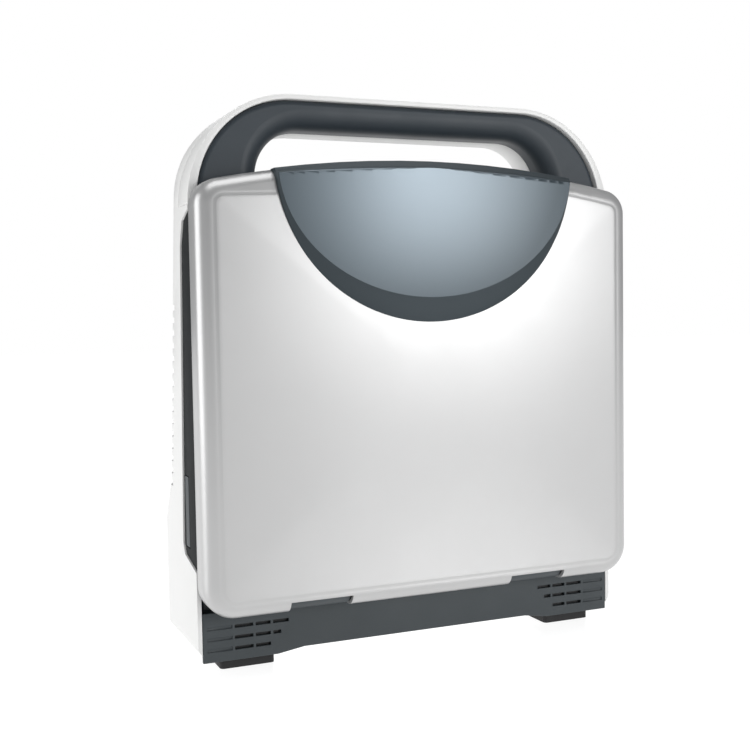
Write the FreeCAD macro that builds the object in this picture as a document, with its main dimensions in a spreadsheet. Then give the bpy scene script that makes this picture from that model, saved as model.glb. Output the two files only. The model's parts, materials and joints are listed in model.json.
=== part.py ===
"""Portable ultrasound scanner, closed and standing on its hinge end.

Millimetres. X is the width, -Y is the side with the lid, +Z is up.
The origin is under the middle of the whole, on the floor.
"""
import FreeCAD
import Part
import Sketcher
import math
import os
import re

SIZES = (
    # overall
    ("wide", 290, "lid, side to side"),
    ("high", 344, "floor to handle top"),
    ("deep", 120, "lid badge to back feet"),
    # walls and clearances
    ("wall", 2.5, "moulded wall"),
    ("gap", 0.3, "between fixed pieces"),
    ("free", 0.6, "round moving pieces"),
    ("running", 0.05, "radial, pin in its bore"),
    # lid
    ("badge_proud", 6, "half-moon pad above the lid face"),
    ("badge_r", 99.5, "half-moon radius"),
    ("badge_round", 4, "half-moon edge"),
    ("badge_up", 1, "half-moon's middle above the lid's top edge"),
    ("lid_thick", 20, "lid depth"),
    ("lid_low", 36, "lid lower edge above the floor"),
    ("lid_rise", 15.5, "bow of the lid's top edge"),
    ("lid_low_round", 19, "lower corners seen from the front"),
    ("lid_top_round", 16, "upper corners seen from the front"),
    ("lid_soft", 9, "rounding of the front edges"),
    # hinge
    ("hinge_in", 8, "hinge axis in front of the lid's back"),
    ("hinge_up", 10, "hinge axis above the lid's lower edge"),
    ("cover_near", 55.2, "hinge cover, inner end"),
    ("cover_far", 93.3, "hinge cover, outer end"),
    ("cover_r", 9.5, "hinge cover radius"),
    ("neck_half", 7.6, "half the hinge cover's neck"),
    ("notch_high", 6.8, "lid notch round a hinge cover"),
    ("pin_r", 3, "hinge pin radius"),
    ("arm_wide", 7, "hinge arm"),
    ("arm_high", 24, "hinge arm up the lid"),
    ("arm_low", 5.4, "hinge arm below its pin"),
    # handle and hand gap
    ("handle_round", 66, "outer corner of the handle"),
    ("handle_band", 20, "handle top to hand gap"),
    ("hand_half", 100, "half the hand gap's width"),
    ("hand_high", 34, "hand gap, top to bottom"),
    ("hand_drop", 20.5, "hand gap top to the lid's top"),
    ("hand_round", 29, "upper corners of the hand gap"),
    ("hand_low_round", 4, "lower corners of the hand gap"),
    ("rim_long", 67, "handle's front rim, top to bottom"),
    ("rim_top", 3, "rim seen above the grip"),
    ("rim_side", 6, "rim seen beside the grip"),
    ("rim_back", -8, "parting line along the handle"),
    ("grip_set", 2, "grip behind the rim"),
    ("grip_edge", 3, "grip rounding towards the rim"),
    ("grip_soft", 11.5, "grip rounding towards the hand gap"),
    # housing
    ("foot_high", 8.5, "housing above the floor"),
    ("shell_in", 0.5, "housing inside the lid's side"),
    ("back_foot", 3, "back foot stands out"),
    ("panel_set", 4, "end panel behind the lid's back"),
    ("thick_top", 84, "top of the thick lower end"),
    ("step_top", 112, "top of the step"),
    ("step_deep", 17, "depth lost over the step"),
    ("handle_back", 11, "back of the handle"),
    ("taper_end", 38, "end of the back's taper below the handle top"),
    ("back_round", 12, "back edges of the housing"),
    ("low_round", 8, "lower corners of the housing"),
    # side trims
    ("trim_thick", 4, "side trim"),
    ("trim_low", 60, "trim's lower end"),
    ("trim_in", 1, "trim inside the housing's side"),
    ("trim_short", 1, "trim's upper end below the handle's rim"),
    ("trim_low_y", 2, "trim's rear edge, below"),
    ("trim_top_y", -9, "trim's rear edge, above"),
    ("trim_toe", 4, "trim's cut corner below, front to back"),
    ("trim_toe_rise", 7, "trim's cut corner below, start"),
    ("trim_toe_end", 13, "trim's cut corner below, end"),
    ("trim_head", 6, "trim's cut corner above, front to back"),
    ("trim_head_end", 22, "trim's cut corner above, end"),
    # end panel
    ("panel_drop", 2.5, "end panel's ends below the housing"),
    ("arch_half", 78, "half the arch under the end panel"),
    ("arch_slope", 17, "run of the arch's end"),
    ("vent_high", 2, "vent slot"),
    ("vent_rows", 3, "vent rows"),
    ("vent_pitch", 6.6, "vent row to row"),
    ("vent_low", 13.3, "lowest vent row"),
    ("vent_start", 98, "inner end of the lowest row"),
    ("vent_lean", 5, "each row starts nearer by this"),
    ("vent_end", 122, "outer end of the open part"),
    ("vent_rib", 1.6, "rib across the slots"),
    ("vent_bay", 11, "rib to rib"),
    ("groove_end", 139, "outer end of the blind groove"),
    ("screen_thick", 1, "dust screen behind the vents"),
    ("trough_back", -19.5, "wall behind the hinge"),
    ("trough_top", 63.7, "top of that wall"),
    # louvres
    ("louvre_low", 107, "lowest louvre"),
    ("louvre_count", 15, "louvres a side"),
    ("louvre_pitch", 7.9, "louvre spacing"),
    ("louvre_high", 3.4, "louvre slot"),
    ("louvre_in", 10, "louvre depth from the side"),
    ("louvre_run", 15, "louvre length from the back"),
    # frame and deck
    ("frame_border", 8.2, "front frame beside the deck opening"),
    ("frame_over", 0.9, "front frame's back behind the keypad board"),
    ("bumper", 0.9, "lid's back to the frame"),
    ("deck_low", 70, "deck opening, low"),
    ("deck_top", 270, "deck opening, top"),
    ("deck_sink", 5.2, "deck below the frame's front"),
    ("ledge", 4, "ledge under the deck"),
    ("cap_top", 1, "caps below the lid's back"),
    # keys
    ("key_pitch", 17.5, "keys and rows"),
    ("key_size", 15, "key"),
    ("key_deep", 7.5, "key, front to back"),
    ("key_soft", 0.9, "rounding of a key's front edges"),
    ("cap_soft", 1.2, "rounding of the large keys' front edges"),
    ("key_low", 84, "lowest row's middle"),
    ("key_first", -76, "first key's middle"),
    ("key_count", 12, "keys a row"),
    ("row_count", 4, "rows of keys"),
    ("function_z", 160, "function row"),
    ("function_count", 6, "function keys"),
    ("function_size", 10.5, "function key"),
    ("function_pitch", 24, "function keys"),
    ("set_x", 36, "set key off the middle"),
    ("set_wide", 16, "set key"),
    ("set_high", 34, "set key"),
    ("round_x", 74, "freeze and save keys off the middle"),
    ("round_z", 246, "freeze and save keys"),
    ("round_r", 11, "freeze and save keys"),
    ("knob_x", 74, "knobs off the middle"),
    ("knob_z", 202, "knobs"),
    ("knob_r", 12, "knobs"),
    ("power_x", 114, "power button"),
    ("power_r", 7, "power button"),
    ("ball_z", 222, "trackball"),
    ("ball_r", 14, "trackball"),
    ("ring_r", 20, "trackball ring"),
    ("cup_wall", 4, "trackball cup"),
    ("slider_x", -110, "gain sliders' middle"),
    ("slider_low", 80, "lowest gain slider"),
    ("slider_pitch", 11.5, "gain sliders"),
    ("slider_count", 6, "gain sliders"),
    ("slider_travel", 9, "gain slider each way"),
    ("slider_wide", 7, "slider cap"),
    ("slider_high", 6, "slider cap"),
    ("slider_stem", 2.4, "slider stem"),
    # boards and inner pieces
    ("board_thick", 1.6, "circuit board"),
    ("pad_set", 2.9, "keypad board behind the deck"),
    ("tray_set", 1.5, "tray behind the trackball cup"),
    ("tray_in", 8.5, "tray inside the housing's side"),
    ("tray_low", 30, "tray"),
    ("tray_top", 270, "tray"),
    ("tray_sheet", 1.5, "tray metal"),
    ("main_set", 4.5, "main board behind the tray's front"),
    ("main_half", 118, "main board"),
    ("main_low", 92, "main board"),
    ("main_top", 250, "main board"),
    ("boards_apart", 6, "probe board behind the main board"),
    ("probe_board_half", 100, "probe board"),
    ("probe_board_top", 228, "probe board"),
    ("sink_half", 30, "heat sink"),
    ("sink_low", 104, "heat sink"),
    ("sink_high", 44, "heat sink"),
    ("sink_deep", 12, "heat sink"),
    ("fin", 1.6, "heat sink fin"),
    ("fin_count", 9, "heat sink fins"),
    ("fan_x", -106, "fan"),
    ("fan_z", 36, "fan"),
    ("fan_size", 34, "fan"),
    ("fan_deep", 10, "fan"),
    ("fan_y", -17, "fan front"),
    ("hub_r", 6, "fan hub"),
    ("blade_count", 7, "fan blades"),
    ("speaker_x", 98, "speaker"),
    ("speaker_z", 240, "speaker"),
    ("speaker_r", 15, "speaker"),
    ("battery_half", 70, "battery"),
    ("battery_low", 17, "battery"),
    ("battery_top", 77, "battery"),
    ("battery_deep", 28, "battery"),
    ("door_half", 75, "battery door"),
    ("door_low", 14.5, "battery door"),
    ("door_top", 80, "battery door"),
    ("latch_half", 6, "battery latch"),
    ("latch_x", 86, "battery latch"),
    ("latch_z", 47, "battery latch"),
    ("latch_travel", 4, "battery latch"),
    ("power_half", 24, "power module"),
    ("power_low", 16, "power module"),
    ("power_top", 74, "power module"),
    ("filter_low", 104, "air filter's lower end"),
    ("filter_top", 224, "air filter's upper end"),
    ("filter_in", 12, "air filter in front of the housing's back"),
    ("filter_deep", 14.4, "air filter, below"),
    ("filter_room", 3.6, "air filter's upper end behind the tray"),
    # sockets
    ("socket_front", 10, "probe socket"),
    ("socket_room", 2, "tray lip to the probe socket"),
    ("socket_back", 44, "probe socket"),
    ("socket_low", 14, "probe socket"),
    ("socket_top", 70, "probe socket"),
    ("socket_deep", 24, "probe socket"),
    ("mouth_half", 8, "probe socket mouth"),
    ("mouth_high", 40, "probe socket mouth"),
    ("contact_half", 2.4, "contact block"),
    ("dial_y", 24, "probe lock knob"),
    ("dial_z", 90, "probe lock knob"),
    ("dial_r", 11, "probe lock knob"),
    ("usb_y", -7, "USB slot's middle"),
    ("usb_half", 4.8, "USB slot"),
    ("usb_low", 72, "USB slot"),
    ("usb_top", 116, "USB slot"),
    ("usb_wide", 5.2, "USB mouth"),
    ("usb_long", 13, "USB mouth"),
    ("usb_apart", 9.75, "USB mouth from the pair's middle"),
    ("port_y", 9, "ports' middle"),
    ("port_high", 16, "ports, up from the floor of the housing"),
    ("inlet_x", -48, "power inlet"),
    ("inlet_wide", 22, "power inlet"),
    ("data_x", 44, "data ports"),
    ("data_wide", 26, "data ports"),
    ("port_deep", 14, "ports"),
    # display
    ("view_half", 123.5, "half the picture's width"),
    ("view_high", 185.5, "picture height"),
    ("view_z", 172, "picture's middle"),
    ("bezel_thick", 3, "bezel"),
    ("glass_thick", 1.2, "screen glass"),
    ("glass_lap", 3, "glass beyond the window"),
    ("panel_thick", 5.5, "display panel"),
    ("panel_lap", 7, "panel beyond the picture"),
    # lid latch
    ("catch_half", 30, "latch bar"),
    ("catch_high", 6, "latch bar"),
    ("catch_drop", 9.5, "latch bar's lower edge below the lid's top"),
    ("catch_thick", 2.2, "latch bar"),
    ("catch_travel", 5, "latch bar"),
    ("tooth_x", 20, "latch tooth"),
    ("tooth_wide", 6, "latch tooth"),
    ("tooth_long", 10, "latch tooth below the bar"),
    # feet and screws
    ("foot_near", 96, "foot's inner side"),
    ("foot_far", 130, "foot's outer side"),
    ("foot_long", 26, "foot"),
    ("foot_in", 2, "front foot behind the end panel"),
    ("foot_rear", 28, "rear foot"),
    ("back_foot_x", 112, "back feet"),
    ("back_foot_low", 66, "lower back feet"),
    ("back_foot_top", 262, "upper back feet"),
    ("back_foot_r", 7, "back feet"),
    ("screw_r", 3, "screw head"),
    ("screw_x", 126, "side screws"),
    ("screw_low", 122, "lower screws"),
    ("screw_top", 236, "upper screws"),
    ("screw_deep", 6, "screw"),
)

# Places that follow from the sizes above.
PLACES = {
    "lid_front": "-deep / 2 + badge_proud",
    "lid_back": "lid_front + lid_thick",
    "lid_top": "high - handle_band - hand_drop",
    "lid_side": "lid_top - lid_rise",
    "hinge_y": "lid_back - hinge_in",
    "hinge_z": "lid_low + hinge_up",
    "frame_front": "lid_back + bumper",
    "deck_front": "frame_front + deck_sink",
    "deck_back": "deck_front + wall",
    "cap_front": "lid_back + cap_top",
    "panel_front": "lid_back + panel_set",
    "back": "deep / 2 - back_foot",
    "shell_half": "wide / 2 - shell_in",
    "frame_half": "shell_half - trim_in - trim_thick - gap",
    "deck_half": "frame_half - frame_border",
    "tray_half": "shell_half - tray_in",
    "rim_low": "high - rim_long",
    "taper_top": "high - taper_end",
    "trim_top": "rim_low - trim_short",
    "catch_z": "lid_top - catch_drop",
    "tooth_low": "catch_z - tooth_long",
    "foot_front": "panel_front + wall + foot_in",
    "hand_top": "high - handle_band",
    "hand_low": "hand_top - hand_high",
    "cavity_top": "hand_low - wall",
    "frame_low": "trough_top + gap",
    "frame_top": "hand_low - gap",
    "ball_y": "cap_front + ball_r",
    "pad_board_y": "deck_back + pad_set",
    "frame_back": "pad_board_y + board_thick + frame_over",
    "tray_y": "ball_y + ball_r + wall + tray_set",
    "tray_deep": "socket_front - socket_room - tray_y",
    "main_y": "tray_y + main_set",
    "probe_board_y": "main_y + boards_apart",
    "inner_half": "shell_half - wall",
    "door_front": "back - wall",
}

doc = FreeCAD.newDocument("ultrasound_scanner")
sheet = doc.addObject("Spreadsheet::Sheet", "dims")
for row, (alias, value, meaning) in enumerate(SIZES, start=1):
    sheet.set(f"A{row}", meaning)
    sheet.set(f"B{row}", str(value))
    sheet.setAlias(f"B{row}", alias)
doc.recompute()
ruler = doc.addObject("Part::Vertex", "ruler")
kept = {}


def formula(text):
    """A length in the words above, written out as an expression on the sheet."""
    def written(match):
        word = match.group(0)
        return f"({formula(PLACES[word])})" if word in PLACES else f"dims.{word}"
    return re.sub(r"[a-z][a-z_0-9]*(?![\w(])", written, str(text))


def measure(text):
    """The number that a length has now."""
    ruler.setExpression("X", formula(text))
    ruler.recompute()
    return ruler.X.Value


def bind(thing, **lengths):
    for name, text in lengths.items():
        thing.setExpression(name.replace("_at_", "Placement.Base."), formula(text))


def both(half):
    return (f"-({half})", half)


def about(middle, size):
    return (f"({middle}) - ({size}) / 2", f"({middle}) + ({size}) / 2")


def both_about(middle, half):
    return (f"{middle} - ({half})", f"{middle} + ({half})")


def keep(label, solid):
    """Names a finished sub-part."""
    solid.Label = label
    kept[label] = solid
    return solid


def block(name, x, y, z):
    """A box between pairs of lengths."""
    box = doc.addObject("Part::Box", name)
    bind(box, Length=f"({x[1]}) - ({x[0]})", Width=f"({y[1]}) - ({y[0]})", Height=f"({z[1]}) - ({z[0]})")
    bind(box, _at_x=x[0], _at_y=y[0], _at_z=z[0])
    return box


def sided_block(name, side, near, far, y, z):
    """A block beside the middle plane, between two distances from it."""
    x = (near, far) if side > 0 else (f"-({far})", f"-({near})")
    return block(name, x, y, z)


def rod(name, axis, centre, ends, radius):
    """A cylinder along axis X, Y or Z; centre is its place on the other two."""
    turns = {"X": ((0, 1, 0), 90), "Y": ((1, 0, 0), -90), "Z": ((0, 0, 1), 0)}
    spin, angle = turns[axis]
    cylinder = doc.addObject("Part::Cylinder", name)
    cylinder.Placement = FreeCAD.Placement(FreeCAD.Vector(), FreeCAD.Rotation(FreeCAD.Vector(*spin), angle))
    bind(cylinder, Radius=radius, Height=f"({ends[1]}) - ({ends[0]})")
    places = list(centre)
    places.insert("XYZ".index(axis), ends[0])
    bind(cylinder, _at_x=places[0], _at_y=places[1], _at_z=places[2])
    return cylinder


def arc(start, end, radius):
    """The short counter-clockwise arc from start to end."""
    chord = end - start
    half = chord.Length / 2
    inward = FreeCAD.Vector(-chord.y, chord.x, 0).normalize()
    centre = (start + end) / 2 + inward * math.sqrt(max(radius ** 2 - half ** 2, 0))
    angles = [math.atan2(point.y - centre.y, point.x - centre.x) for point in (start, end)]
    circle = Part.Circle(centre, FreeCAD.Vector(0, 0, 1), radius)
    return Part.ArcOfCircle(circle, angles[0], angles[1])


def draw(sketch, outline):
    """A closed outline, counter-clockwise: (across, up) or (across, up, radius of the arc that follows)."""
    points = [FreeCAD.Vector(measure(corner[0]), measure(corner[1]), 0) for corner in outline]
    for index, corner in enumerate(outline):
        start = points[index]
        end = points[(index + 1) % len(points)]
        edge = arc(start, end, measure(corner[2])) if len(corner) > 2 else Part.LineSegment(start, end)
        sketch.addGeometry(edge)
    for index, corner in enumerate(outline):
        following = (index + 1) % len(outline)
        sketch.addConstraint(Sketcher.Constraint("Coincident", index, 2, following, 1))
        pinned = [("DistanceX", points[index].x, corner[0]), ("DistanceY", points[index].y, corner[1])]
        for kind, number, text in pinned:
            held = sketch.addConstraint(Sketcher.Constraint(kind, -1, 1, index, 1, number))
            sketch.setExpression(f"Constraints[{held}]", formula(text))
        if len(corner) > 2:
            held = sketch.addConstraint(Sketcher.Constraint("Radius", index, measure(corner[2])))
            sketch.setExpression(f"Constraints[{held}]", formula(corner[2]))


def prism(name, plane, outline, low, high):
    """A sketched outline on an origin plane, padded between two lengths along its normal."""
    body = doc.addObject("PartDesign::Body", name)
    sketch = body.newObject("Sketcher::SketchObject", f"{name}_outline")
    base = [feature for feature in body.Origin.OriginFeatures if feature.Role == plane][0]
    sketch.AttachmentSupport = (base, [""])
    sketch.MapMode = "FlatFace"
    draw(sketch, outline)
    start = f"-({high})" if plane == "XZ_Plane" else low
    sketch.setExpression("AttachmentOffset.Base.z", formula(start))
    pad = body.newObject("PartDesign::Pad", f"{name}_pad")
    pad.Profile = sketch
    bind(pad, Length=f"({high}) - ({low})")
    doc.recompute()
    return body


def soften(body, radius, wanted):
    """Rounds the wanted edges of a body's last feature."""
    tip = body.Tip
    names = [f"Edge{number}" for number, edge in enumerate(tip.Shape.Edges, start=1) if wanted(edge)]
    fillet = body.newObject("PartDesign::Fillet", f"{body.Name}_round")
    fillet.Base = (tip, names)
    bind(fillet, Radius=radius)
    doc.recompute()
    return body


def rounded(solid, radius, wanted):
    """Rounds the wanted edges of a plain solid."""
    doc.recompute()
    size = measure(radius)
    edges = [(number, size, size) for number, edge in enumerate(solid.Shape.Edges, start=1) if wanted(edge)]
    fillet = doc.addObject("Part::Fillet", f"{solid.Name}_round")
    fillet.Base = solid
    fillet.Edges = edges
    return fillet


def runs(edge, axis):
    """Whether a straight edge runs along an axis."""
    if len(edge.Vertexes) < 2:
        return False
    step = edge.Vertexes[1].Point - edge.Vertexes[0].Point
    return abs(getattr(step, axis)) > 0.999 * step.Length and step.Length > 0


def joined(name, solids):
    if len(solids) == 1:
        return solids[0]
    fusion = doc.addObject("Part::MultiFuse", name)
    fusion.Shapes = solids
    return fusion


def cut(name, base, tools):
    piece = doc.addObject("Part::Cut", name)
    piece.Base = base
    piece.Tool = joined(f"{name}_tools", tools)
    return piece


def shared(name, first, second):
    piece = doc.addObject("Part::Common", name)
    piece.Base = first
    piece.Tool = second
    return piece


def group(name, solids):
    compound = doc.addObject("Part::Compound", name)
    compound.Links = solids
    return compound


def box_outline(x, z, low_round, top_round):
    """An upright rectangle with rounded corners."""
    left, right = x
    low, top = z
    return [
        (f"{left} + {low_round}", low), (f"{right} - ({low_round})", low, low_round),
        (right, f"{low} + {low_round}"), (right, f"{top} - ({top_round})", top_round),
        (f"{right} - ({top_round})", top), (f"{left} + {top_round}", top, top_round),
        (left, f"{top} - ({top_round})"), (left, f"{low} + {low_round}", low_round),
    ]


def shell_outline(inset_side, inset_top, low):
    """The housing and handle seen from the front, drawn in by an inset."""
    half = f"(shell_half - ({inset_side}))"
    top = f"(high - ({inset_top}))"
    bend = f"(handle_round - ({inset_side}))"
    return [
        (f"-{half}", low), (half, low), (half, f"{top} - {bend}", bend),
        (f"{half} - {bend}", top), (f"-({half} - {bend})", top, bend), (f"-{half}", f"{top} - {bend}"),
    ]


def hand_gap(name, low, y):
    outline = box_outline(both("hand_half"), (low, "hand_top"), "hand_low_round", "hand_round")
    return prism(name, "XZ_Plane", outline, y[0], y[1])


def side_profile(name, inset, top):
    """The housing seen from the side, as a slab across the width, its back edges rounded."""
    half = f"(shell_half - ({inset}))"
    low = f"foot_high + ({inset})"
    front = "panel_front" if inset == "0" else "panel_front - wall"
    profile = [
        (front, low), (f"back - ({inset})", low), (f"back - ({inset})", "thick_top"),
        (f"back - step_deep - ({inset})", "step_top"),
        (f"handle_back - ({inset})", "taper_top"), (f"handle_back - ({inset})", top), (front, top),
    ]
    if inset != "0":
        slope = f"(back - step_deep - handle_back) * ({top} - step_top) / (taper_top - step_top)"
        profile[4:6] = [(f"back - step_deep - ({inset}) - {slope}", top)]
    body = prism(name, "YZ_Plane", profile, f"-{half}", half)
    edge_x = measure(half)
    front_y = measure(front)
    low_z = measure(low)

    def back_corner(edge):
        middle = edge.CenterOfMass
        at_side = abs(abs(middle.x) - edge_x) < 0.01
        return at_side and middle.y > front_y + 1 and not runs(edge, "y") and middle.z > low_z
    return soften(body, f"back_round - ({inset})", back_corner)


# ---------------------------------------------------------------- housing and handle

def back_at(z):
    """The outer back of the housing at a height between the step and the handle."""
    taper = f"(back - step_deep - handle_back) * (({z}) - step_top) / (taper_top - step_top)"
    return f"(back - step_deep - {taper})"


def louvres():
    slots = []
    for side in (-1, 1):
        for number in range(int(measure("louvre_count"))):
            z = f"louvre_low + {number} * louvre_pitch"
            inner = "shell_half - louvre_in"
            outer = "shell_half + wall"
            x = (inner, outer) if side > 0 else (f"-({outer})", f"-({inner})")
            y = (f"{back_at(z)} - louvre_run", f"{back_at(z)} + wall")
            slots.append(block("louvre", x, y, about(z, "louvre_high")))
    return slots


def back_foot_places():
    return [(f"{side} * back_foot_x", z) for side in (-1, 1) for z in ("back_foot_low", "back_foot_top")]


def screw_places():
    return [(f"{side} * screw_x", z) for side in (-1, 1) for z in ("screw_low", "screw_top")]


def trim_outline(clear):
    """The dark strip between lid and housing, seen from the side."""
    return [
        ("frame_front", f"trim_low + ({clear})"),
        (f"trim_low_y - trim_toe - ({clear})", f"trim_low + trim_toe_rise + ({clear})"),
        (f"trim_low_y - ({clear})", f"trim_low + trim_toe_end + ({clear})"),
        (f"trim_top_y - ({clear})", "trim_top - trim_head_end"),
        (f"trim_top_y - trim_head - ({clear})", f"trim_top - trim_toe_rise - ({clear})"),
        ("frame_front", f"trim_top - ({clear})"),
    ]


def rear_housing():
    seen_in_front = prism("housing_front", "XZ_Plane", shell_outline("0", "0", "foot_high"),
                          "panel_front - wall", "deep / 2")
    seen_in_front = soften(seen_in_front, "low_round",
                           lambda edge: runs(edge, "y") and edge.CenterOfMass.z < measure("thick_top"))
    outer = shared("housing_outer", side_profile("housing_side", "0", "high"), seen_in_front)
    hollow = side_profile("housing_hollow", "wall", "cavity_top")
    front = "panel_front - wall"
    windows = [
        hand_gap("housing_hand_gap", "hand_low", (front, "deep")),
        block("housing_rim_room", both("wide"), (front, "rim_back"), ("rim_low", "high + wall")),
        prism("housing_trim_room", "YZ_Plane", trim_outline("0"), "-wide", "wide"),
        block("panel_room", both("inner_half"), (front, "panel_front + wall + gap"), ("0", "lid_low + wall")),
        block("door_room", both("door_half"), ("door_front - wall", "deep"), ("door_low", "door_top")),
        block("latch_room", ("latch_x - latch_half - free", "latch_x + latch_half + latch_travel + free"),
              ("door_front - wall", "deep"), about("latch_z", "4 * latch_half")),
        block("socket_room", ("inner_half - wall", "wide"), ("socket_front", "socket_back"),
              ("socket_low", "socket_top")),
        rod("dial_room", "X", ("dial_y", "dial_z"), ("inner_half - wall", "wide"), "dial_r + free"),
        block("inlet_room", about("inlet_x", "inlet_wide"), about("port_y", "port_deep"),
              ("0", "foot_high + 2 * wall")),
        block("data_room", about("data_x", "data_wide"), about("port_y", "port_deep"),
              ("0", "foot_high + 2 * wall")),
    ]
    seat = (f"{back_at('back_foot_top')} - wall / 2", "deep")
    feet = [rod("foot_seat", "Y", (x, z), seat, "back_foot_r") for x, z in back_foot_places()
            if z == "back_foot_top"]
    screws = [rod("screw_room", "Y", (x, z), (f"{back_at(z)} - screw_deep", "deep"), "screw_r + gap")
              for x, z in screw_places()]
    shell = cut("housing_shell", outer, [hollow])
    shell = cut("housing_windows", shell, windows)
    shell = cut("housing_holes", shell, feet + screws)
    keep("rear_housing", cut("housing_louvres", shell, louvres()))


def handle():
    rim_outer = prism("rim_outer", "XZ_Plane", shell_outline("0", "0", "rim_low + gap"),
                      "panel_front", "rim_back - gap")
    rim_inner = prism("rim_inner", "XZ_Plane", shell_outline("rim_side", "rim_top", "rim_low - wall"),
                      "panel_front - wall", "rim_back + wall")
    keep("handle_front_rim", cut("rim_ring", rim_outer, [rim_inner]))
    grip = prism("grip_outer", "XZ_Plane", shell_outline("rim_side + gap", "rim_top + gap", "rim_low + gap"),
                 "panel_front + grip_set", "rim_back - gap")
    grip_front = measure("panel_front + grip_set")
    above_ends = measure("rim_low + wall")

    def outer_front(edge):
        return abs(edge.CenterOfMass.y - grip_front) < 0.01 and edge.CenterOfMass.z > above_ends
    grip = soften(grip, "grip_edge", outer_front)
    hole = hand_gap("grip_hand_gap", "rim_low - hand_high", ("panel_front - wall", "rim_back + wall"))
    arch = cut("grip_arch", grip, [hole])

    def inner_front(edge):
        middle = edge.CenterOfMass
        near = abs(middle.x) <= measure("hand_half") + 0.01 and middle.z <= measure("hand_top") + 0.01
        return near and outer_front(edge)
    keep("handle_grip", rounded(arch, "grip_soft", inner_front))


def trims():
    for side, label in ((-1, "left"), (1, "right")):
        outer = f"{side} * (frame_half + gap + trim_thick)"
        inner = f"{side} * (frame_half + gap)"
        low, high = (outer, inner) if side < 0 else (inner, outer)
        trim = prism(f"trim_{label}", "YZ_Plane", trim_outline("gap"), low, high)
        if side < 0:
            slot = block("usb_slot", ("-wide", "0"), both_about("usb_y", "usb_half"), ("usb_low", "usb_top"))
            trim = cut("trim_slot", trim, [slot])
        keep(f"side_trim_{label}", trim)


def end_panel():
    floor = "foot_high - panel_drop"
    half = "inner_half - gap"
    arch = "foot_high"
    outline = [
        (f"-({half})", floor), ("-arch_half - arch_slope", floor), ("-arch_half", arch),
        ("arch_half", arch), ("arch_half + arch_slope", floor), (half, floor), (half, "lid_low"),
        (f"-({half})", "lid_low"),
    ]
    plate = prism("panel_plate", "XZ_Plane", outline, "panel_front", "panel_front + wall")
    ledge = block("panel_ledge", both("frame_half"), ("panel_front", "trough_back"),
                  ("lid_low - wall", "lid_low"))
    wall_back = block("panel_trough", both("frame_half"), ("trough_back - wall", "trough_back"),
                      ("lid_low - wall", "trough_top"))
    slots = []
    for side in (-1, 1):
        for row in range(int(measure("vent_rows"))):
            z = about(f"vent_low + {row} * vent_pitch", "vent_high")
            start = f"vent_start - {row} * vent_lean"
            ends = [start, "vent_start", "vent_start + vent_bay", "vent_end"]
            for number in range(len(ends) - 1):
                near = ends[number] if number == 0 else f"{ends[number]} + vent_rib"
                if row == 0 and number == 0:
                    continue
                slots.append(sided_block("vent", side, near, ends[number + 1],
                                         ("panel_front - wall", "panel_front + 2 * wall"), z))
            slots.append(sided_block("groove", side, "vent_end + vent_rib", "groove_end",
                                     ("panel_front - wall", "panel_front + wall / 3"), z))
    whole = joined("panel_whole", [plate, ledge, wall_back])
    keep("hinge_end_panel", cut("panel_vented", whole, slots))
    screens = [sided_block("screen", side, "vent_start - vent_rows * vent_lean", "vent_end + wall",
                           ("panel_front + wall", "panel_front + wall + screen_thick"),
                           ("foot_high + wall + gap", "lid_low - wall - gap")) for side in (-1, 1)]
    return screens


def feet():
    pads = []
    for side in (-1, 1):
        for front in ("foot_front", "foot_rear"):
            pad = sided_block("foot", side, "foot_near", "foot_far", (front, f"{front} + foot_long"),
                              ("0", "foot_high"))
            pads.append(rounded(pad, "wall", lambda edge: runs(edge, "z")))
    keep("standing_feet", group("standing_feet_set", pads))
    pads = []
    for x, z in back_foot_places():
        start = "back" if z == "back_foot_low" else f"{back_at(z)} - wall / 2"
        reach = "back_foot" if z == "back_foot_low" else "back_foot + wall / 2"
        radius = "back_foot_r" if z == "back_foot_low" else "back_foot_r - running"
        pads.append(rod("back_foot_pad", "Y", (x, z), (start, f"{start} + {reach}"), radius))
    keep("back_feet", group("back_feet_set", pads))
    screws = [rod("screw", "Y", (x, z), (f"{back_at(z)} - screw_deep", f"{back_at(z)} - wall / 2"), "screw_r")
              for x, z in screw_places()]
    keep("housing_screws", group("housing_screw_set", screws))


# ---------------------------------------------------------------- frame, deck and controls

def key_rows():
    """(label, key middles across, height of the row, key size)"""
    rows = []
    for row in range(int(measure("row_count"))):
        places = [f"key_first + {number} * key_pitch" for number in range(int(measure("key_count")))]
        rows.append((f"key_row_{row + 1}", places, f"key_low + {row} * key_pitch", "key_size"))
    count = int(measure("function_count"))
    places = [f"({number} - {(count - 1) / 2}) * function_pitch" for number in range(count)]
    rows.append(("function_keys", places, "function_z", "function_size"))
    return rows


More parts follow.
